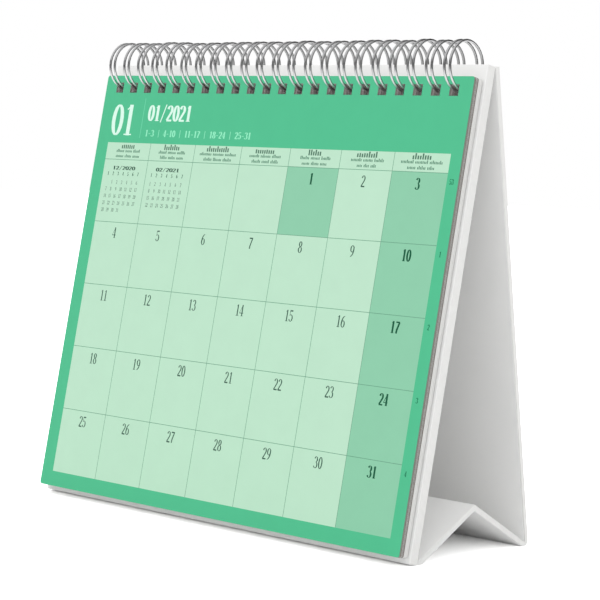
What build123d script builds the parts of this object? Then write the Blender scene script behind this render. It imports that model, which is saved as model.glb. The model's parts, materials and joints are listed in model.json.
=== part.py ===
from build123d import *

import os
from math import cos, radians, sin, sqrt, tan

# Easel desk calendar, in millimetres: a folded white board stand, month leaves, and the twin-loop
# wire that binds the leaves to the stand's two top edges. +Z is up, +X runs along the binding and
# -Y faces the reader. The origin is on the table, under the middle of the calendar.
# A depth is measured square to the front leaf, back from its printed face.
# A drop is measured along the leaf, down from its top edge.

# Month leaves
LEAF_WIDTH = 194.6
LEAF_HEIGHT = 170.0
LEAF_THICK = 0.3
LEAF_CORNER = 1.0
LEAF_HOLE_DROP = 5.0
BLOCK_FRONT_DEPTH = 0.7
BLOCK_BACK_DEPTH = 4.6

# Folded stand
STAND_WIDTH = 196.8
FRONT_LEAN = radians(10.6)
FRONT_PANEL_DEPTH = 5.0
FRONT_PANEL_THICK = 4.2
FRONT_PANEL_HEIGHT = 177.4
FRONT_PANEL_RISE = 5.5
BACK_LEAN = radians(9.17)
PANEL_THICK = 2.1
TOP_SLIT = 0.12
FRONT_FOOT_WIDTH = 2.6
RIDGE_RISE = 16.0
FRONT_BASE_SPAN = 28.0
REAR_BASE_SPAN = 28.5
HEEL_RADIUS = 1.8

# Twin-loop wire
LOOP_COUNT = 22
LOOP_PITCH = 25.4 / 3
LOOP_RADIUS = 9.35
LOOP_BENDS = 20
LOOP_DEPTH = 3.1
LOOP_RISE = 4.55
WIRE_THICK = 1.0
TWIN_SPACING = 2.6
LINK_ANGLE = 52.0
TIP_ANGLE = 40.0
END_REACH = 3.0
HOLE_SIDE = 4.2
BACK_HOLE_HEIGHT = 5.4

# The stand's rear reach and the leaf's front reach, from the front foot, put the origin midway
panel_back_depth = FRONT_PANEL_DEPTH + FRONT_PANEL_THICK
foot_drop = FRONT_PANEL_HEIGHT - FRONT_PANEL_RISE
panel_top_y = FRONT_PANEL_HEIGHT * sin(FRONT_LEAN)
panel_top_z = FRONT_PANEL_HEIGHT * cos(FRONT_LEAN)
back_foot_y = panel_top_y + TOP_SLIT + panel_top_z * tan(BACK_LEAN)
heel_y = back_foot_y + PANEL_THICK / cos(BACK_LEAN)
heel_round = HEEL_RADIUS * (tan(BACK_LEAN) + 1 / cos(BACK_LEAN) - 1)
leaf_foot_y = (foot_drop - LEAF_HEIGHT) * sin(FRONT_LEAN) - panel_back_depth * cos(FRONT_LEAN)
foot_y = -(leaf_foot_y + heel_y - heel_round) / 2

# Planes: the front leaf's face, with y up the leaf, and the loops' side view, where x is depth
depth_way = Vector(0, cos(FRONT_LEAN), -sin(FRONT_LEAN))
leaf_up = Vector(0, sin(FRONT_LEAN), cos(FRONT_LEAN))
leaf_top = Vector(0, foot_y, 0) - depth_way * panel_back_depth + leaf_up * foot_drop
leaf_face = Plane(origin=leaf_top, x_dir=(1, 0, 0), z_dir=-depth_way)
loop_centre = leaf_top + depth_way * LOOP_DEPTH + leaf_up * LOOP_RISE
loop_side = Plane(origin=loop_centre, x_dir=depth_way, z_dir=(1, 0, 0))

# The back panel's outer face, with y up the panel from its top edge
back_up = Vector(0, -sin(BACK_LEAN), cos(BACK_LEAN))
back_out = Vector(0, cos(BACK_LEAN), sin(BACK_LEAN))
back_top_inner = Vector(0, foot_y + panel_top_y + TOP_SLIT, panel_top_z)
back_face = Plane(origin=back_top_inner + back_out * PANEL_THICK, x_dir=(-1, 0, 0), z_dir=back_out)


def loop_reach(distance):
    """How far below its middle a loop crosses an upright face that stands that distance from it."""
    return sqrt(LOOP_RADIUS**2 - distance**2)


def loop_point(angle):
    """Point on a loop in its side view, by the angle from straight down towards the rear."""
    return (LOOP_RADIUS * sin(radians(angle)), -LOOP_RADIUS * cos(radians(angle)))


def punch(plane, drop, depth, hole_height=HOLE_SIDE):
    """Cut the row of binding holes into the open part, a drop below a plane's origin and inwards."""
    with BuildSketch(plane) as holes:
        with Locations((0, -drop)):
            with GridLocations(LOOP_PITCH, 0, LOOP_COUNT, 1):
                Rectangle(HOLE_SIDE, hole_height)
    extrude(holes.sketch, amount=-depth, mode=Mode.SUBTRACT)


def leaf_outline(plane):
    """Sketch of a leaf with its round corners, hung by its top edge from a plane's origin."""
    with BuildSketch(plane) as outline:
        with Locations((0, -LEAF_HEIGHT / 2)):
            RectangleRounded(LEAF_WIDTH, LEAF_HEIGHT, LEAF_CORNER)
    return outline.sketch


# Month leaf at the front: a thin card that hangs on the wire by a row of square holes
with BuildPart() as front_leaf:
    extrude(leaf_outline(leaf_face), amount=-LEAF_THICK)
    punch(leaf_face, LEAF_HOLE_DROP, LEAF_THICK)

# The leaves still to come, hung in line with it on the same wire
with BuildPart() as leaf_block:
    extrude(leaf_outline(leaf_face.offset(-BLOCK_FRONT_DEPTH)), amount=BLOCK_FRONT_DEPTH - BLOCK_BACK_DEPTH)
    punch(leaf_face, LEAF_HOLE_DROP, BLOCK_BACK_DEPTH)

# Stand: one board folded into a front panel, a ridged base and a back panel that meets the front's top
ridge_y = foot_y + FRONT_FOOT_WIDTH + FRONT_BASE_SPAN
front_slope = RIDGE_RISE / FRONT_BASE_SPAN
rear_slope = RIDGE_RISE / REAR_BASE_SPAN
front_lift = PANEL_THICK * sqrt(1 + front_slope**2)
rear_lift = PANEL_THICK * sqrt(1 + rear_slope**2)
ridge_top_y = ridge_y + (rear_lift - front_lift) / (front_slope + rear_slope)
ridge_top_z = RIDGE_RISE + front_lift + (ridge_top_y - ridge_y) * front_slope
base_front_z = (front_lift - FRONT_FOOT_WIDTH * front_slope) / (1 - tan(FRONT_LEAN) * front_slope)
back_foot_inner = foot_y + back_foot_y
rear_run = back_foot_inner - ridge_y
base_rear_z = (RIDGE_RISE + rear_lift - rear_run * rear_slope) / (1 - tan(BACK_LEAN) * rear_slope)
front_face_foot = leaf_top + depth_way * FRONT_PANEL_DEPTH - leaf_up * foot_drop
front_face_top = leaf_top + depth_way * FRONT_PANEL_DEPTH + leaf_up * FRONT_PANEL_RISE
with BuildPart() as easel_stand:
    with BuildSketch(Plane.YZ):
        with BuildLine():
            Polyline(
                (foot_y, 0),
                (front_face_foot.Y, front_face_foot.Z),
                (front_face_top.Y, front_face_top.Z),
                (foot_y + panel_top_y, panel_top_z),
                (foot_y + base_front_z * tan(FRONT_LEAN), base_front_z),
                (ridge_top_y, ridge_top_z),
                (back_foot_inner - base_rear_z * tan(BACK_LEAN), base_rear_z),
                (back_top_inner.Y, back_top_inner.Z),
                (back_face.origin.Y, back_face.origin.Z),
                (foot_y + heel_y, 0),
                (ridge_y + REAR_BASE_SPAN, 0),
                (ridge_y, RIDGE_RISE),
                (foot_y + FRONT_FOOT_WIDTH, 0),
                close=True,
            )
        make_face()
    extrude(amount=STAND_WIDTH / 2, both=True)
    heel = easel_stand.edges().filter_by(Axis.X).sort_by(Axis.Y)[-1]
    fillet(heel, HEEL_RADIUS)
    front_reach = loop_reach(FRONT_PANEL_DEPTH - LOOP_DEPTH)
    behind_reach = loop_reach(panel_back_depth - LOOP_DEPTH)
    punch(leaf_face, (front_reach + behind_reach) / 2 - LOOP_RISE, panel_back_depth)
    to_back = back_face.origin - loop_centre
    back_distance = to_back.dot(back_out)
    inner_reach = loop_reach(back_distance - PANEL_THICK)
    outer_reach = loop_reach(back_distance)
    back_drop = (inner_reach + outer_reach) / 2 + to_back.dot(back_up)
    punch(back_face, back_drop, PANEL_THICK, hole_height=BACK_HOLE_HEIGHT)

# One twin loop of the wire: two legs bent round almost a full turn and joined at the tip
gap_start = TIP_ANGLE + END_REACH
gap_end = LINK_ANGLE - END_REACH
with BuildPart() as loop:
    with BuildSketch(loop_side.offset(-TWIN_SPACING / 2), loop_side.offset(TWIN_SPACING / 2)):
        RegularPolygon(LOOP_RADIUS + WIRE_THICK / 2, LOOP_BENDS)
        RegularPolygon(LOOP_RADIUS - WIRE_THICK / 2, LOOP_BENDS, mode=Mode.SUBTRACT)
        with BuildLine():
            Polyline(
                (0, 0),
                Vector(*loop_point(gap_start)) * 2,
                Vector(*loop_point(gap_end)) * 2,
                close=True,
            )
        make_face(mode=Mode.SUBTRACT)
    extrude(amount=WIRE_THICK / 2, both=True)
    with BuildSketch(loop_side):
        with Locations(loop_point(TIP_ANGLE)):
            Rectangle(WIRE_THICK, WIRE_THICK, rotation=TIP_ANGLE)
    extrude(amount=(TWIN_SPACING + WIRE_THICK) / 2, both=True)

# Straight link from one loop's open end to the next loop's
with BuildPart() as link:
    with BuildSketch(loop_side):
        with Locations(loop_point(LINK_ANGLE)):
            Rectangle(WIRE_THICK, WIRE_THICK, rotation=LINK_ANGLE)
    extrude(amount=(LOOP_PITCH - TWIN_SPACING + WIRE_THICK) / 2, both=True)

# Binding wire: one length of wire bent into every loop and link
with BuildPart() as wire_binding:
    with GridLocations(LOOP_PITCH, 0, LOOP_COUNT, 1):
        add(loop.part)
    with GridLocations(LOOP_PITCH, 0, LOOP_COUNT - 1, 1):
        add(link.part)

front_leaf.part.label = "front_leaf"
leaf_block.part.label = "leaf_block"
easel_stand.part.label = "easel_stand"
wire_binding.part.label = "wire_binding"

os.makedirs("parts", exist_ok=True)
export_step(front_leaf.part, "parts/front_leaf.step")
export_step(leaf_block.part, "parts/leaf_block.step")
export_step(easel_stand.part, "parts/easel_stand.step")
export_step(wire_binding.part, "parts/wire_binding.step")
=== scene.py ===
import json
from math import cos, pi, radians, sin
from random import Random

import bmesh
import bpy
from mathutils import Matrix, Vector
from mathutils.geometry import delaunay_2d_cdt


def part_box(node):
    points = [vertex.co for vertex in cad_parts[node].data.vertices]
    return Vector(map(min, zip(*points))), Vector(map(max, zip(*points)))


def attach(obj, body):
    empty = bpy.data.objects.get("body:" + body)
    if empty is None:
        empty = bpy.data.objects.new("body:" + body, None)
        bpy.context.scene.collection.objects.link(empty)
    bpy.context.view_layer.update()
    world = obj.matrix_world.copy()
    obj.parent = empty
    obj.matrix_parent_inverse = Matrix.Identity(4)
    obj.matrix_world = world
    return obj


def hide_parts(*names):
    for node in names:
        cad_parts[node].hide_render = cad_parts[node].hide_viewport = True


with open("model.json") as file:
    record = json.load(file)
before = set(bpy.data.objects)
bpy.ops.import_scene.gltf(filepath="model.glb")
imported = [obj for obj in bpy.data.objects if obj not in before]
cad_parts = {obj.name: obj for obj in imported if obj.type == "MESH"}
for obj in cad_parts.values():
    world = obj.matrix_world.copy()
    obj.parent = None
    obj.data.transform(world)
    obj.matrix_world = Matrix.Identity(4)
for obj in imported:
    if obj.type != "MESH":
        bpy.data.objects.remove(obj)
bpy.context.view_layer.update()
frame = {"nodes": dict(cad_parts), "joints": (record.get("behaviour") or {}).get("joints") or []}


# Studio: a white table that runs out of sight, a plain white surround, one broad, soft lamp in front and
# dark cloths that only polished metal mirrors. The camera stands off to the right, below the top edge.
EYE = (0.57180, -0.58618, 0.14429)
LENS_MM = 127.53
SENSOR_MM = 36.0
NEAREST_SEEN = 0.01
YAW = radians(43.684)
PITCH = radians(4.144)
ROLL = radians(1.887)
SURROUND_LIGHT = 0.97
SURROUND_SEEN = 1.0
LAMP_LIGHT = 0.15
LAMP_SPREAD = radians(50)
LAMP_TURN = (radians(40), 0, radians(-5))
TABLE_HALF = 4.0
TABLE_WHITE = 0.95
TABLE_SEEN_WHITE = 1.9
CLOTH_GREY = 0.07
CLOTH_RADIUS = 0.7
CLOTH_HIGH = 0.42
CLOTH_SIDES = 24
REAR_CLOTH = ((-1.6, 0.8, 0.5), (1.6, 0.8, 0.5), (1.6, 0.8, 1.6), (-1.6, 0.8, 1.6))

scene = bpy.context.scene
scene.view_settings.view_transform = "Standard"

camera = bpy.data.objects.new("reader_camera", bpy.data.cameras.new("reader_camera"))
camera.data.sensor_width = SENSOR_MM
camera.data.lens = LENS_MM
camera.data.clip_start = NEAREST_SEEN
turned = Matrix.Rotation(YAW, 4, "Z")
tilted = Matrix.Rotation(pi / 2 - PITCH, 4, "X")
rolled = Matrix.Rotation(ROLL, 4, "Z")
aim = turned @ tilted @ rolled
camera.matrix_world = Matrix.Translation(EYE) @ aim
scene.collection.objects.link(camera)
scene.camera = camera

lamp = bpy.data.objects.new("soft_lamp", bpy.data.lights.new("soft_lamp", "SUN"))
lamp.data.energy = LAMP_LIGHT
lamp.data.angle = LAMP_SPREAD
lamp.rotation_euler = LAMP_TURN
scene.collection.objects.link(lamp)


def seen_directly(tree):
    """Node output that is 1 for rays from the eye, off a shiny face or through a clear one, else 0."""
    path = tree.nodes.new("ShaderNodeLightPath")
    eye_or_shine = tree.nodes.new("ShaderNodeMath")
    eye_or_shine.operation = "MAXIMUM"
    tree.links.new(path.outputs["Is Camera Ray"], eye_or_shine.inputs[0])
    tree.links.new(path.outputs["Is Glossy Ray"], eye_or_shine.inputs[1])
    seen = tree.nodes.new("ShaderNodeMath")
    seen.operation = "MAXIMUM"
    tree.links.new(eye_or_shine.outputs[0], seen.inputs[0])
    tree.links.new(path.outputs["Is Transmission Ray"], seen.inputs[1])
    return seen.outputs[0]


def lit_or_seen(tree, lit, seen):
    """Node output with one value where a surface only gives light, and another where it is seen."""
    span = tree.nodes.new("ShaderNodeMapRange")
    tree.links.new(seen_directly(tree), span.inputs["Value"])
    span.inputs["To Min"].default_value = lit
    span.inputs["To Max"].default_value = seen
    return span.outputs["Result"]


surround = bpy.data.worlds.new("white_surround")
surround.use_nodes = True
scene.world = surround
sky = surround.node_tree.nodes["Background"]
sky.inputs["Color"].default_value = (1, 1, 1, 1)
sky_strength = lit_or_seen(surround.node_tree, SURROUND_LIGHT, SURROUND_SEEN)
surround.node_tree.links.new(sky_strength, sky.inputs["Strength"])

table_mesh = bpy.data.meshes.new("table")
table_corners = [(-TABLE_HALF, -TABLE_HALF, 0), (TABLE_HALF, -TABLE_HALF, 0)]
table_corners += [(TABLE_HALF, TABLE_HALF, 0), (-TABLE_HALF, TABLE_HALF, 0)]
table_mesh.from_pydata(table_corners, [], [(0, 1, 2, 3)])
table = bpy.data.objects.new("table", table_mesh)
scene.collection.objects.link(table)
table_paint = bpy.data.materials.new("table_white")
table_paint.use_nodes = True
table_shader = table_paint.node_tree.nodes["Principled BSDF"]
table_shader.inputs["Roughness"].default_value = 1.0
table_shader.inputs["Specular IOR Level"].default_value = 0.0
table_colour = lit_or_seen(table_paint.node_tree, TABLE_WHITE, TABLE_SEEN_WHITE)
table_paint.node_tree.links.new(table_colour, table_shader.inputs["Base Color"])
table_mesh.materials.append(table_paint)

cloth_grey = bpy.data.materials.new("cloth_grey")
cloth_grey.use_nodes = True
cloth_shader = cloth_grey.node_tree.nodes["Principled BSDF"]
cloth_shader.inputs["Base Color"].default_value = (CLOTH_GREY, CLOTH_GREY, CLOTH_GREY, 1)
cloth_shader.inputs["Roughness"].default_value = 1.0
cloth_shader.inputs["Specular IOR Level"].default_value = 0.0
cloth = bmesh.new()
cloth.faces.new([cloth.verts.new(corner) for corner in REAR_CLOTH])
cloth_rim = []
for side in range(CLOTH_SIDES):
    turn = 2 * pi * side / CLOTH_SIDES
    x, y = CLOTH_RADIUS * cos(turn), CLOTH_RADIUS * sin(turn)
    cloth_rim.append((cloth.verts.new((x, y, 0)), cloth.verts.new((x, y, CLOTH_HIGH))))
for (low, high), (next_low, next_high) in zip(cloth_rim, cloth_rim[1:] + cloth_rim[:1]):
    cloth.faces.new((low, next_low, next_high, high))
cloth_mesh = bpy.data.meshes.new("dark_cloths")
cloth.to_mesh(cloth_mesh)
cloth.free()
cloth_mesh.materials.append(cloth_grey)
dark_cloths = bpy.data.objects.new("dark_cloths", cloth_mesh)
dark_cloths.visible_camera = False
dark_cloths.visible_diffuse = False
dark_cloths.visible_shadow = False
dark_cloths.visible_transmission = False
scene.collection.objects.link(dark_cloths)


# Easel stand: one board faced with white paper and folded three times, into a front panel, a ridged base
# and a back panel. Its top edges only lean together, and its two cut sides show the board itself.
MM = 0.001
COVER_WHITE = (248, 248, 247)
COVER_CLOUD = 14.0
BOARD_WHITE = (236, 236, 234)
BOARD_CLOUD = 3.0
BOARD_MOTTLE = 0.02
SIDEWAYS = 0.99
COVER_EDGE = 0.3
COVER_EDGE_STEPS = 3
FOLD_ANGLE = radians(25)
SMOOTH_ANGLE = radians(40)
FLAT_ANGLE = radians(0.5)
WELD_GAP = 0.001

# Paper, with its sizes in millimetres: clouds in its colour, and a tooth of fibres on its surface
PAPER_SHINE = 0.2
PAPER_MOTTLE = 0.012
PAPER_CLOUD = 9.0
CLOUD_DETAIL = 5.0
CLOUD_LOW = 0.3
CLOUD_HIGH = 0.7
FIBRE_SIZE = 0.35
FIBRE_DETAIL = 3.0
PAPER_SMOOTHEST = 0.54
PAPER_ROUGHEST = 0.70
TOOTH_HEIGHT = 0.012
TOOTH_STRENGTH = 0.35


def linear(colour):
    """Scene colour of an sRGB colour given as three values up to 255."""
    shares = [value / 255 for value in colour]
    return [c / 12.92 if c <= 0.04045 else ((c + 0.055) / 1.055) ** 2.4 for c in shares] + [1.0]


def paper(name, colour, mottle=PAPER_MOTTLE, cloud_size=PAPER_CLOUD):
    """Matt paper: a faint cloudy look-through in its colour, and a fine tooth of fibres."""
    material = bpy.data.materials.new(name)
    material.use_nodes = True
    tree = material.node_tree
    shader = tree.nodes["Principled BSDF"]
    shader.inputs["Specular IOR Level"].default_value = PAPER_SHINE
    place = tree.nodes.new("ShaderNodeTexCoord")

    cloud = tree.nodes.new("ShaderNodeTexNoise")
    cloud.inputs["Scale"].default_value = 1 / (cloud_size * MM)
    cloud.inputs["Detail"].default_value = CLOUD_DETAIL
    tree.links.new(place.outputs["Object"], cloud.inputs["Vector"])
    tint = tree.nodes.new("ShaderNodeValToRGB")
    darker, lighter = tint.color_ramp.elements
    base = linear(colour)
    darker.position = CLOUD_LOW
    darker.color = [c * (1 - mottle) for c in base[:3]] + [1.0]
    lighter.position = CLOUD_HIGH
    lighter.color = [min(c * (1 + mottle), 1.0) for c in base[:3]] + [1.0]
    tree.links.new(cloud.outputs["Fac"], tint.inputs["Fac"])
    tree.links.new(tint.outputs["Color"], shader.inputs["Base Color"])

    fibre = tree.nodes.new("ShaderNodeTexNoise")
    fibre.inputs["Scale"].default_value = 1 / (FIBRE_SIZE * MM)
    fibre.inputs["Detail"].default_value = FIBRE_DETAIL
    tree.links.new(place.outputs["Object"], fibre.inputs["Vector"])
    gloss = tree.nodes.new("ShaderNodeMapRange")
    gloss.inputs["To Min"].default_value = PAPER_SMOOTHEST
    gloss.inputs["To Max"].default_value = PAPER_ROUGHEST
    tree.links.new(fibre.outputs["Fac"], gloss.inputs["Value"])
    tree.links.new(gloss.outputs["Result"], shader.inputs["Roughness"])
    tooth = tree.nodes.new("ShaderNodeBump")
    tooth.inputs["Strength"].default_value = TOOTH_STRENGTH
    tooth.inputs["Distance"].default_value = TOOTH_HEIGHT * MM
    tree.links.new(fibre.outputs["Fac"], tooth.inputs["Height"])
    tree.links.new(tooth.outputs["Normal"], shader.inputs["Normal"])
    return material


stand_mesh = bpy.data.meshes.new("folded_board")
board = bmesh.new()
board.from_mesh(frame["nodes"]["easel_stand"].data)
bmesh.ops.remove_doubles(board, verts=board.verts, dist=WELD_GAP * MM)
bmesh.ops.dissolve_limit(board, angle_limit=FLAT_ANGLE, verts=board.verts, edges=board.edges)
board.normal_update()
for face in board.faces:
    face.material_index = 1 if abs(face.normal.x) > SIDEWAYS else 0
board.to_mesh(stand_mesh)
board.free()
stand_mesh.materials.append(paper("facing_paper", COVER_WHITE, cloud_size=COVER_CLOUD))
stand_mesh.materials.append(paper("board_edge", BOARD_WHITE, mottle=BOARD_MOTTLE, cloud_size=BOARD_CLOUD))
stand = bpy.data.objects.new("folded_board", stand_mesh)
scene.collection.objects.link(stand)
cover_wrap = stand.modifiers.new("rounded_covering", "BEVEL")
cover_wrap.width = COVER_EDGE * MM
cover_wrap.segments = COVER_EDGE_STEPS
cover_wrap.limit_method = "ANGLE"
cover_wrap.angle_limit = FOLD_ANGLE
cover_wrap.use_clamp_overlap = False
stand_mesh.shade_smooth()
stand_mesh.set_sharp_from_angle(angle=SMOOTH_ANGLE)
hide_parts("easel_stand")
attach(stand, "stand")


# Month leaf in front: one thin card, printed in greens with a grid of days, and punched along its top
# edge. It hangs on the wire by its square holes, in front of the months still to come.
# Its sizes are in millimetres on the leaf, and a drop is measured down its face from its top edge.
LEAF_THICK = 0.3
LEAF_CORNER = 1.0
LEAF_LEAN = radians(10.6)
CORNER_STEPS = 5
ARC_STEPS = 9
LOOP_COUNT = 22
LOOP_PITCH = 25.4 / 3
HOLE_SIDE = 4.2
HOLE_DROP = 5.0
JOIN_GAP = 1e-4
FACES_INSIDE = 1

# A leaf's inks by number, in the order in which its colours are listed; HOLE is painted shade in the
# holes
BORDER, PALE, DARK, LINE, NOTE, NAME, INK, BOLD, WEEK, WHITE, MINT, RULE, BACK, EDGE, HOLE = range(15)

leaf_low, leaf_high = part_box("front_leaf")
leaf_width = (leaf_high[0] - leaf_low[0]) / MM
leaf_rise = (leaf_high[2] - leaf_low[2]) / MM
leaf_height = (leaf_rise - LEAF_THICK * sin(LEAF_LEAN)) / cos(LEAF_LEAN)
leaf_corner = Vector((leaf_low[0], leaf_high[1] - LEAF_THICK * MM * cos(LEAF_LEAN), leaf_high[2]))
leaf_axes = Matrix((
    (1, 0, 0, 0),
    (0, sin(LEAF_LEAN), -cos(LEAF_LEAN), 0),
    (0, cos(LEAF_LEAN), sin(LEAF_LEAN), 0),
    (0, 0, 0, 1),
))
leaf_place = Matrix.Translation(leaf_corner) @ leaf_axes @ Matrix.Scale(MM, 4)


def on_leaf(x, drop, depth):
    """Point in the scene, from a place right of the leaf's corner, down its face and behind it."""
    return leaf_place @ Vector((x, -drop, -depth))


def rectangle(x, drop, width, height):
    """Upright rectangle on the leaf, from its upper left corner."""
    return [(x, drop), (x, drop + height), (x + width, drop + height), (x + width, drop)]


def leaf_outline():
    """Edge of a leaf, with its four small round corners."""
    outline = []
    near, far, foot = LEAF_CORNER, leaf_width - LEAF_CORNER, leaf_height - LEAF_CORNER
    for x, drop, start in ((near, foot, 180), (far, foot, 270), (far, near, 0), (near, near, 90)):
        for step in range(CORNER_STEPS + 1):
            turn = radians(start + 90 * step / CORNER_STEPS)
            outline.append((x + LEAF_CORNER * cos(turn), drop - LEAF_CORNER * sin(turn)))
    return outline


def leaf_holes():
    """The row of square binding holes along the top edge of a leaf."""
    first = (leaf_width - LOOP_PITCH * (LOOP_COUNT - 1) - HOLE_SIDE) / 2
    top = HOLE_DROP - HOLE_SIDE / 2
    return [rectangle(first + LOOP_PITCH * hole, top, HOLE_SIDE, HOLE_SIDE) for hole in range(LOOP_COUNT)]


def cut_face(shapes):
    """Cut a face along the edges of all the shapes on it.

    Gives its corners, the corners round each shape, and its triangles with the topmost shape's number.
    """
    points = []
    loops = []
    for shape in shapes:
        area = sum(a[0] * b[1] - b[0] * a[1] for a, b in zip(shape, shape[1:] + shape[:1]))
        ordered = shape if area < 0 else shape[::-1]
        loops.append(list(range(len(points), len(points) + len(ordered))))
        points += [Vector((x, -drop)) for x, drop in ordered]
    cut = delaunay_2d_cdt(points, [], loops, FACES_INSIDE, JOIN_GAP)
    corners, _, triangles, merged, _, sources = cut
    became = {point: corner for corner, group in enumerate(merged) for point in group}
    rims = [[became[point] for point in loop] for loop in loops]
    return corners, rims, [(triangle, max(source)) for triangle, source in zip(triangles, sources)]


def add_leaf(leaf, fields, face_ink, edge_ink, depth, thick, slide=0.0):
    """Add a punched leaf to a mesh: a face printed with fields of ink, a plain back and its cut edges."""
    blank = [leaf_outline()] + leaf_holes()
    shapes = blank + [shape for shape, ink in fields]
    inks = [face_ink] + [None] * LOOP_COUNT + [ink for shape, ink in fields]
    corners, rims, triangles = cut_face(shapes)
    front = [leaf.verts.new(on_leaf(c.x + slide, -c.y, depth)) for c in corners]
    for triangle, top in triangles:
        if inks[top] is not None:
            leaf.faces.new([front[corner] for corner in triangle]).material_index = inks[top]

    back_corners, back_rims, back_triangles = cut_face(blank)
    back = [leaf.verts.new(on_leaf(c.x + slide, -c.y, depth + thick)) for c in back_corners]
    for triangle, top in back_triangles:
        if top == 0:
            leaf.faces.new([back[corner] for corner in reversed(triangle)]).material_index = BACK

    # The walls of the binding holes are coloured darker than the card: painted shade for the dim insides
    # of the holes
    wall_inks = [edge_ink] + [HOLE] * LOOP_COUNT
    for rim, back_rim, ink in zip(rims, back_rims, wall_inks):
        around = list(zip(rim, back_rim))
        for (a, behind_a), (b, behind_b) in zip(around, around[1:] + around[:1]):
            wall = leaf.faces.new((front[b], front[a], back[behind_a], back[behind_b]))
            wall.material_index = ink


def arc(x, y, wide, high, start, end, steps=ARC_STEPS):
    """Points along an ellipse, by angles in degrees from its right-hand side."""
    turns = [radians(start + (end - start) * step / steps) for step in range(steps + 1)]
    return [(x + wide * cos(turn), y + high * sin(turn)) for turn in turns]


# Pen strokes of the numerals in a box one unit high, with y up: a share of the full weight, then a path.
# A broad pen draws them, so a stroke is heavy where it runs upright and fine where it runs level.
NUMERALS = {
    "0": [(1, arc(0.25, 0.5, 0.17, 0.48, 90, 270)), (1, arc(0.25, 0.5, 0.17, 0.48, -90, 90))],
    "1": [
        (1, [(0.26, 0), (0.26, 1)]),
        (0.3, [(0.26, 0.97), (0.11, 0.84)]),
        (1, [(0.1, 0.03), (0.42, 0.03)]),
    ],
    "2": [
        (1, arc(0.235, 0.73, 0.155, 0.25, 170, -30) + [(0.26, 0.4), (0.07, 0.06)]),
        (3, [(0.05, 0.05), (0.45, 0.05)]),
    ],
    "3": [(1, arc(0.22, 0.755, 0.15, 0.225, 165, -80)), (1, arc(0.21, 0.275, 0.185, 0.255, 82, -160))],
    "4": [
        (1, [(0.34, 0), (0.34, 1)]),
        (0.3, [(0.34, 0.97), (0.03, 0.29)]),
        (1.6, [(0.02, 0.27), (0.48, 0.27)]),
        (1, [(0.22, 0.02), (0.46, 0.02)]),
    ],
    "5": [
        (0.4, [(0.1, 0.96), (0.09, 0.52)]),
        (3, [(0.09, 0.94), (0.42, 0.94)]),
        (1, arc(0.215, 0.315, 0.19, 0.295, 135, -160)),
    ],
    "6": [
        (1, arc(0.25, 0.3, 0.17, 0.28, 90, 270)),
        (1, arc(0.25, 0.3, 0.17, 0.28, -90, 90)),
        (1, arc(0.43, 0.3, 0.35, 0.68, 180, 96)),
    ],
    "7": [(3, [(0.05, 0.94), (0.46, 0.94)]), (1, [(0.42, 0.92), (0.3, 0.55), (0.22, 0.28), (0.19, 0)])],
    "8": [
        (1, arc(0.25, 0.76, 0.135, 0.22, 90, 270)),
        (1, arc(0.25, 0.76, 0.135, 0.22, -90, 90)),
        (1, arc(0.25, 0.27, 0.17, 0.25, 90, 270)),
        (1, arc(0.25, 0.27, 0.17, 0.25, -90, 90)),
    ],
    "/": [(0.4, [(0.08, -0.08), (0.4, 1.06)])],
    "-": [(2, [(0.08, 0.42), (0.38, 0.42)])],
    "|": [(0.4, [(0.25, -0.1), (0.25, 1.05)])],
}
NUMERALS["9"] = [(share, [(0.5 - x, 1 - y) for x, y in path]) for share, path in NUMERALS["6"]]
NUMERAL_ADVANCE = 0.5
HAIRLINE = 0.04


def pen_stroke(path, weight):
    """Outline of a broad-pen stroke along a path."""
    left = []
    right = []
    for index, (x, y) in enumerate(path):
        before = path[max(index - 1, 0)]
        after = path[min(index + 1, len(path) - 1)]
        way = Vector((after[0] - before[0], after[1] - before[1])).normalized()
        half = (HAIRLINE + (weight - HAIRLINE) * way.y**2) / 2
        left.append((x - way.y * half, y + way.x * half))
        right.append((x + way.y * half, y - way.x * half))
    return left + right[::-1]


def level_stroke(path, share):
    """Outline of a level stroke, so many hairlines thick."""
    (start, y), (end, _) = path
    half = HAIRLINE * share / 2
    return [(start, y - half), (end, y - half), (end, y + half), (start, y + half)]


def number(text, middle, drop, height, weight, ink, stretch=1.0):
    """Fields that print a number, centred across and hanging from a drop."""
    fields = []
    advance = NUMERAL_ADVANCE * height * stretch
    for place, sign in enumerate(text):
        left = middle + advance * (place - len(text) / 2)
        for share, path in NUMERALS.get(sign, []):
            is_level = len(path) == 2 and path[0][1] == path[1][1]
            stroke = level_stroke(path, share) if is_level else pen_stroke(path, weight * share)
            outline = [(left + x * height * stretch, drop + (1 - y) * height) for x, y in stroke]
            fields.append((outline, ink))
    return fields


# Small print too fine to read: uneven upright marks in a row, with a gap now and then
MARK_PITCH = 0.52
MARK_SHARE = 0.62
MARK_HEIGHTS = (0.62, 0.62, 0.7, 0.7, 1.0)
MARK_SEED = 21
mark_choice = Random(MARK_SEED)


def small_print(middle, drop, width, tall, ink, words=1):
    """Fields of one centred row of small print, parted into words."""
    pitch = tall * MARK_PITCH
    places = round(width / pitch)
    word_length = places / words
    fields = []
    for place in range(places):
        high = tall * mark_choice.choice(MARK_HEIGHTS)
        x = middle - width / 2 + pitch * place
        if place % word_length >= 1 or words == 1:
            fields.append((rectangle(x, drop + tall - high, pitch * MARK_SHARE, high), ink))
    return fields


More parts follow.
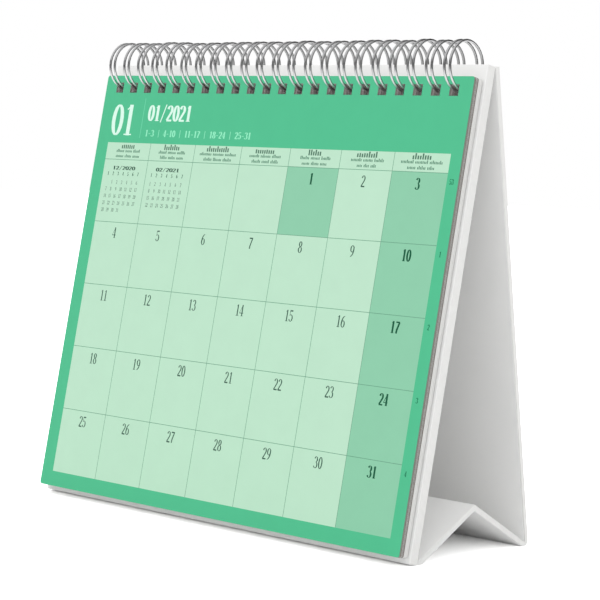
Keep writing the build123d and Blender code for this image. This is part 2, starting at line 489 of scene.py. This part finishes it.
# Layout of a month: the grid of days, the names over it, the small months and the heading
GRID_LEFT = 6.63
GRID_RIGHT = 5.23
TITLE_BAND = 27.87
NAME_BAND = 6.97
WEEK_ROW = 25.84
WEEK_ROWS = 5
DAY_COLUMNS = 7
LINE_WIDE = 0.22
DAY_DROP = 2.1
DAY_TALL = 4.3
DAY_WEIGHT = 0.13
BOLD_WEIGHT = 0.2
WEEK_TALL = 2.0
WEEK_DROP = 2.0
WEEK_INSET = 3.0
NAME_WIDTHS = (8.2, 9.4, 12.4, 10.6, 7.0, 10.2, 8.8)
NAME_DROP = 0.2
NAME_TALL = 2.2
UPPER_NOTE_WIDTHS = (15.1, 16.5, 21.0, 17.9, 16.0, 16.8, 20.4)
UPPER_NOTE_DROP = 2.65
LOWER_NOTE_WIDTHS = (15.1, 14.0, 16.0, 14.7, 13.7, 10.2, 13.8)
LOWER_NOTE_DROP = 4.75
NOTE_TALL = 1.3
NOTE_WORDS = 3
MINI_SHIFT = -0.7
MINI_COLUMN = 3.0
MINI_ROW = 2.88
MINI_TALL = 1.5
MINI_TITLE_DROP = 2.75
MINI_TITLE_STRETCH = 2.6
MINI_NAME_DROP = 5.1
MINI_DAY_DROP = 8.6
MONTH_MIDDLE = 13.8
MONTH_DROP = 12.1
MONTH_TALL = 12.7
MONTH_WEIGHT = 0.15
MONTH_STRETCH = 1.12
RULE_X = 25.1
RULE_DROP = 9.4
RULE_WIDE = 0.35
RULE_TALL = 16.3
TITLE_LEFT = 28.2
TITLE_DROP = 12.2
TITLE_TALL = 6.4
TITLE_STRETCH = 1.14
SPAN_DROP = 22.3
SPAN_TALL = 2.7
SPAN_STRETCH = 1.32
day_column = (leaf_width - GRID_LEFT - GRID_RIGHT) / DAY_COLUMNS
grid_top = TITLE_BAND + NAME_BAND
grid_width = day_column * DAY_COLUMNS
grid_height = NAME_BAND + WEEK_ROW * WEEK_ROWS


def column_middle(column):
    """Middle of one of the seven columns of days."""
    return GRID_LEFT + day_column * (column + 0.5)


def heading(month, title, spans):
    """Fields of the band over the grid: the month in large, a rule, its title and its weeks' days."""
    title_half = NUMERAL_ADVANCE * TITLE_TALL * TITLE_STRETCH * len(title) / 2
    spans_half = NUMERAL_ADVANCE * SPAN_TALL * SPAN_STRETCH * len(spans) / 2
    fields = number(
        month, MONTH_MIDDLE, MONTH_DROP, MONTH_TALL, MONTH_WEIGHT, WHITE, stretch=MONTH_STRETCH
    )
    fields.append((rectangle(RULE_X, RULE_DROP, RULE_WIDE, RULE_TALL), RULE))
    fields += number(
        title, TITLE_LEFT + title_half, TITLE_DROP, TITLE_TALL, BOLD_WEIGHT, WHITE, stretch=TITLE_STRETCH
    )
    fields += number(
        spans, TITLE_LEFT + spans_half, SPAN_DROP, SPAN_TALL, BOLD_WEIGHT, MINT, stretch=SPAN_STRETCH
    )
    return fields


def mini_month(cell, row, title, days, first_column):
    """Fields of a small month for reference: its title, its seven columns' numbers and its days."""
    middle = column_middle(cell) + MINI_SHIFT
    top = grid_top + WEEK_ROW * row
    columns = [middle + MINI_COLUMN * (column - (DAY_COLUMNS - 1) / 2) for column in range(DAY_COLUMNS)]
    fields = number(
        title, middle, top + MINI_TITLE_DROP, MINI_TALL, BOLD_WEIGHT, INK, stretch=MINI_TITLE_STRETCH
    )
    for column, x in enumerate(columns):
        fields += number(str(column + 1), x, top + MINI_NAME_DROP, MINI_TALL, BOLD_WEIGHT, BOLD)
    for day in range(1, days + 1):
        week, column = divmod(first_column + day - 1, DAY_COLUMNS)
        drop = top + MINI_DAY_DROP + MINI_ROW * week
        fields += number(str(day), columns[column], drop, MINI_TALL, DAY_WEIGHT, INK)
    return fields


def month_print(days, first_column, holidays, week_numbers):
    """Fields of a month's grid: tinted cells, fine lines, names over the columns and all its numbers."""
    fields = [(rectangle(GRID_LEFT, TITLE_BAND, grid_width, grid_height), PALE)]
    cells = [divmod(first_column + day, DAY_COLUMNS) for day in range(days)]
    free_days = [
        column == DAY_COLUMNS - 1 or day in holidays for day, (row, column) in enumerate(cells, 1)
    ]
    for (row, column), free in zip(cells, free_days):
        if free:
            x = GRID_LEFT + day_column * column
            fields.append((rectangle(x, grid_top + WEEK_ROW * row, day_column, WEEK_ROW), DARK))
    for row in range(WEEK_ROWS):
        drop = grid_top + WEEK_ROW * row - LINE_WIDE / 2
        fields.append((rectangle(GRID_LEFT, drop, grid_width, LINE_WIDE), LINE))
    for column in range(1, DAY_COLUMNS):
        x = GRID_LEFT + day_column * column - LINE_WIDE / 2
        fields.append((rectangle(x, TITLE_BAND, LINE_WIDE, grid_height), LINE))
    name_drop = TITLE_BAND + NAME_DROP
    upper_drop = TITLE_BAND + UPPER_NOTE_DROP
    lower_drop = TITLE_BAND + LOWER_NOTE_DROP
    for column in range(DAY_COLUMNS):
        middle = column_middle(column)
        upper_width, lower_width = UPPER_NOTE_WIDTHS[column], LOWER_NOTE_WIDTHS[column]
        fields += small_print(middle, name_drop, NAME_WIDTHS[column], NAME_TALL, NAME)
        fields += small_print(middle, upper_drop, upper_width, NOTE_TALL, NOTE, NOTE_WORDS)
        fields += small_print(middle, lower_drop, lower_width, NOTE_TALL, NOTE, NOTE_WORDS)
    for day, ((row, column), free) in enumerate(zip(cells, free_days), 1):
        drop = grid_top + WEEK_ROW * row + DAY_DROP
        weight, ink = (BOLD_WEIGHT, BOLD) if free else (DAY_WEIGHT, INK)
        fields += number(str(day), column_middle(column), drop, DAY_TALL, weight, ink)
    for row, week in enumerate(week_numbers):
        drop = grid_top + WEEK_ROW * row + WEEK_DROP
        fields += number(str(week), leaf_width - WEEK_INSET, drop, WEEK_TALL, BOLD_WEIGHT, WEEK)
    return fields


GREEN_INKS = {
    "green_border": (83, 195, 147),
    "green_pale": (194, 232, 206),
    "green_dark": (145, 208, 174),
    "green_line": (106, 164, 134),
    "green_note": (83, 135, 109),
    "green_name": (82, 122, 101),
    "green_ink": (56, 94, 78),
    "green_bold": (14, 92, 62),
    "green_week": (28, 124, 86),
    "white_ink": (224, 255, 240),
    "mint_ink": (152, 240, 200),
    "mint_rule": (112, 216, 172),
    "card_back": (238, 240, 236),
    "card_edge": (122, 150, 136),
    # Painted shade: the walls of the binding holes, darker than the card
    "painted_shade_hole": (164, 172, 166),
}

front_print = month_print(days=31, first_column=4, holidays=(1,), week_numbers=(53, 1, 2, 3, 4))
front_print += mini_month(cell=0, row=0, title="12/2020", days=31, first_column=1)
front_print += mini_month(cell=1, row=0, title="02/2021", days=28, first_column=0)
front_print += heading(month="01", title="01/2021", spans="1-3 | 4-10 | 11-17 | 18-24 | 25-31")
leaf_mesh = bpy.data.meshes.new("printed_month")
front_leaf = bmesh.new()
add_leaf(front_leaf, front_print, BORDER, EDGE, depth=0.0, thick=LEAF_THICK)
front_leaf.to_mesh(leaf_mesh)
front_leaf.free()
for ink_name, ink_colour in GREEN_INKS.items():
    leaf_mesh.materials.append(paper(ink_name, ink_colour))
printed_month = bpy.data.objects.new("printed_month", leaf_mesh)
scene.collection.objects.link(printed_month)
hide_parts("front_leaf")
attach(printed_month, "leaf")


# Months still to come: more cards of the same size, hung behind on the same wire. The next one shows its
# own print once the month in front is turned over. The nearer ones have darker grey edges.
LEAVES_BEHIND = 15
DARK_EDGED_LEAVES = 7
BEHIND_FRONT = 0.7
BEHIND_BACK = 4.6
BEHIND_THICK = 0.2
BEHIND_SLIDE = 0.12
SLIDE_SEED = 7
GREY_INKS = {
    "grey_border": (182, 172, 165),
    "grey_pale": (236, 231, 226),
    "grey_dark": (212, 204, 197),
    "grey_line": (166, 158, 152),
    "grey_note": (136, 128, 122),
    "grey_name": (108, 100, 95),
    "grey_ink": (86, 78, 74),
    "grey_bold": (92, 70, 58),
    "grey_week": (140, 130, 124),
    "white_ink_behind": (255, 250, 244),
    "sand_ink": (232, 222, 214),
    "sand_rule": (206, 196, 188),
    "card_behind": (238, 238, 236),
    "darker_grey_edge": (132, 126, 122),
    # Painted shade: the walls of the binding holes, darker than the card
    "painted_shade_hole_behind": (172, 162, 158),
}

next_print = month_print(days=28, first_column=0, holidays=(), week_numbers=(5, 6, 7, 8))
next_print += mini_month(cell=0, row=4, title="01/2021", days=31, first_column=4)
next_print += mini_month(cell=1, row=4, title="03/2021", days=31, first_column=0)
next_print += heading(month="02", title="02/2021", spans="1-7 | 8-14 | 15-21 | 22-28")
stack_mesh = bpy.data.meshes.new("months_to_come")
stack = bmesh.new()
jostle = Random(SLIDE_SEED)
leaf_gap = (BEHIND_BACK - BEHIND_FRONT - BEHIND_THICK) / (LEAVES_BEHIND - 1)
for behind in range(LEAVES_BEHIND):
    sheet_print, sheet_ink = (next_print, BORDER) if behind == 0 else ([], BACK)
    sheet_edge = EDGE if behind < DARK_EDGED_LEAVES else BACK
    slide = jostle.uniform(-BEHIND_SLIDE, BEHIND_SLIDE)
    sheet_depth = BEHIND_FRONT + leaf_gap * behind
    add_leaf(stack, sheet_print, sheet_ink, sheet_edge, sheet_depth, BEHIND_THICK, slide)
stack.to_mesh(stack_mesh)
stack.free()
for ink_name, ink_colour in GREY_INKS.items():
    stack_mesh.materials.append(paper(ink_name, ink_colour))
months_to_come = bpy.data.objects.new("months_to_come", stack_mesh)
scene.collection.objects.link(months_to_come)
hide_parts("leaf_block")
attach(months_to_come, "stand")


# Twin-loop wire: one length of nickel-plated steel wire, bent into twenty-two pairs of loops that pass
# through the leaves and both edges of the stand, and pressed shut so that the tips meet the links.
# Bending leaves each loop a little lower than round, and leaning a little to one side.
WIRE_RADIUS = 0.5
WIRE_ROUNDING = 3
TWIN_SPACING = 2.6
LINK_ANGLE = radians(52)
TIP_ANGLE = radians(40)
LINK_BEND = 1.2
LEG_STEPS = 30
BEND_STEPS = 4
TIP_STEPS = 8
LOOP_SAG = 0.5
LOOP_LEAN = 0.3
BEND_SEED = 3
NICKEL = (0.47, 0.47, 0.475, 1)
HAZE_SCALE = 700
HAZE_DETAIL = 4.0
HAZE_LEAST = 0.26
HAZE_MOST = 0.42

wire_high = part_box("wire_binding")[1]
loop_middle = Vector(frame["joints"][0]["pos_m"])
loop_radius = (wire_high[2] - loop_middle.z) / MM - WIRE_RADIUS
loop_place = Matrix.Translation(loop_middle) @ leaf_axes @ Matrix.Scale(MM, 4)


def on_loop(x, run, sag, lean):
    """Point on a loop, from a run along its round that starts straight down and goes to the rear.

    The top of the loop is pressed down by its sag and stands off to one side by its lean.
    """
    turn = run / loop_radius
    rise = (1 - cos(turn)) / 2
    radius = loop_radius - sag * rise
    return loop_place @ Vector((x + lean * rise, -radius * cos(turn), -radius * sin(turn)))


def twin_loop(middle, sag, lean):
    """Points along one loop: up from the link behind it, round, across the tip and back to a link."""
    half = TWIN_SPACING / 2
    foot = loop_radius * LINK_ANGLE + LINK_BEND
    tip = loop_radius * (2 * pi + TIP_ANGLE) - half
    leg = [foot + (tip - foot) * step / LEG_STEPS for step in range(1, LEG_STEPS)]
    route = arc(middle - half - LINK_BEND, foot, LINK_BEND, LINK_BEND, -90, 0, BEND_STEPS)
    route += [(middle - half, run) for run in leg]
    route += arc(middle, tip, half, half, 180, 0, TIP_STEPS)
    route += [(middle + half, run) for run in reversed(leg)]
    route += arc(middle + half + LINK_BEND, foot, LINK_BEND, LINK_BEND, 180, 270, BEND_STEPS)
    return [on_loop(x, run, sag, lean) for x, run in route]


bending = Random(BEND_SEED)
wire_points = []
for loop in range(LOOP_COUNT):
    sag = bending.uniform(0, LOOP_SAG)
    lean = bending.uniform(-LOOP_LEAN, LOOP_LEAN)
    wire_points += twin_loop(LOOP_PITCH * (loop - (LOOP_COUNT - 1) / 2), sag, lean)
# The wire's two ends have no link to reach, so they are cut off before the bend
wire_points = wire_points[BEND_STEPS:-BEND_STEPS]
wire_curve = bpy.data.curves.new("twin_loop_wire", "CURVE")
wire_curve.dimensions = "3D"
wire_curve.bevel_depth = WIRE_RADIUS * MM
wire_curve.bevel_resolution = WIRE_ROUNDING
wire_curve.use_fill_caps = True
wire_line = wire_curve.splines.new("POLY")
wire_line.points.add(len(wire_points) - 1)
for point, place in zip(wire_line.points, wire_points):
    point.co = (*place, 1)
drawn_wire = bpy.data.objects.new("drawn_wire", wire_curve)
wire_mesh = bpy.data.meshes.new_from_object(drawn_wire)
bpy.data.objects.remove(drawn_wire)
wire_mesh.shade_smooth()

nickel = bpy.data.materials.new("nickel_wire")
nickel.use_nodes = True
nickel_tree = nickel.node_tree
nickel_shader = nickel_tree.nodes["Principled BSDF"]
nickel_shader.inputs["Base Color"].default_value = NICKEL
nickel_shader.inputs["Metallic"].default_value = 1.0
nickel_place = nickel_tree.nodes.new("ShaderNodeTexCoord")
handling = nickel_tree.nodes.new("ShaderNodeTexNoise")
handling.inputs["Scale"].default_value = HAZE_SCALE
handling.inputs["Detail"].default_value = HAZE_DETAIL
nickel_tree.links.new(nickel_place.outputs["Object"], handling.inputs["Vector"])
haze = nickel_tree.nodes.new("ShaderNodeMapRange")
haze.inputs["To Min"].default_value = HAZE_LEAST
haze.inputs["To Max"].default_value = HAZE_MOST
nickel_tree.links.new(handling.outputs["Fac"], haze.inputs["Value"])
nickel_tree.links.new(haze.outputs["Result"], nickel_shader.inputs["Roughness"])
wire_mesh.materials.append(nickel)
wire = bpy.data.objects.new("twin_loop_wire", wire_mesh)
# Rendered in full, the wire's thin shade on the paper is darker than in the photo, so it is left off
wire.visible_diffuse = False
wire.visible_shadow = False
scene.collection.objects.link(wire)
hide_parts("wire_binding")
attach(wire, "stand")
